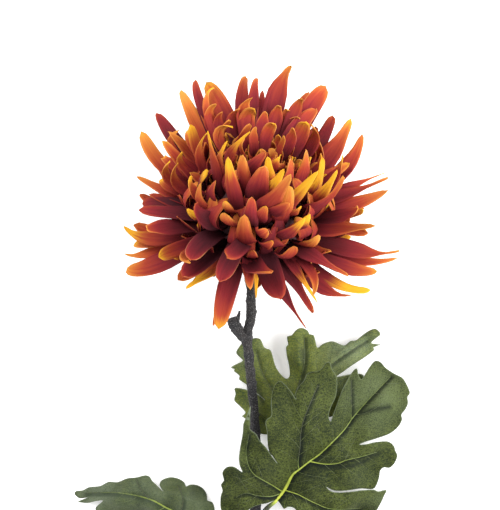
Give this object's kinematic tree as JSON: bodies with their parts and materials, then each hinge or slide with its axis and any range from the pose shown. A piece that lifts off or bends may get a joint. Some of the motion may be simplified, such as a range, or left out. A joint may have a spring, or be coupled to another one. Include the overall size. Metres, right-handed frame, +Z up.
{
  "type": "chrysanthemum",
  "caption": "Cut cloth chrysanthemum lying on its back: a full head of curled and spread petals on a forked stem with lobed leaves.",
  "frame": {"origin": "middle of the whole flower's box, on the table that it lies on", "axes": "+Z up from the table, +Y from the stem's cut end towards the bloom, +X to the right seen from above"},
  "size_m": [0.1863, 0.2879, 0.1325],
  "materials": {
    "petals": "dyed cloth, maroon at the root through crimson and orange to golden tips",
    "calyx": "green cloth",
    "stem": "rough dark coating over wire",
    "leaves": "printed green cloth with yellow-green ribs"
  },
  "bodies": {
    "root": {"bloom": "petals", "calyx": "calyx", "stem": "stem", "leaf_front": "leaves", "leaf_back": "leaves", "leaf_left": "leaves"}
  },
  "joints": []
}
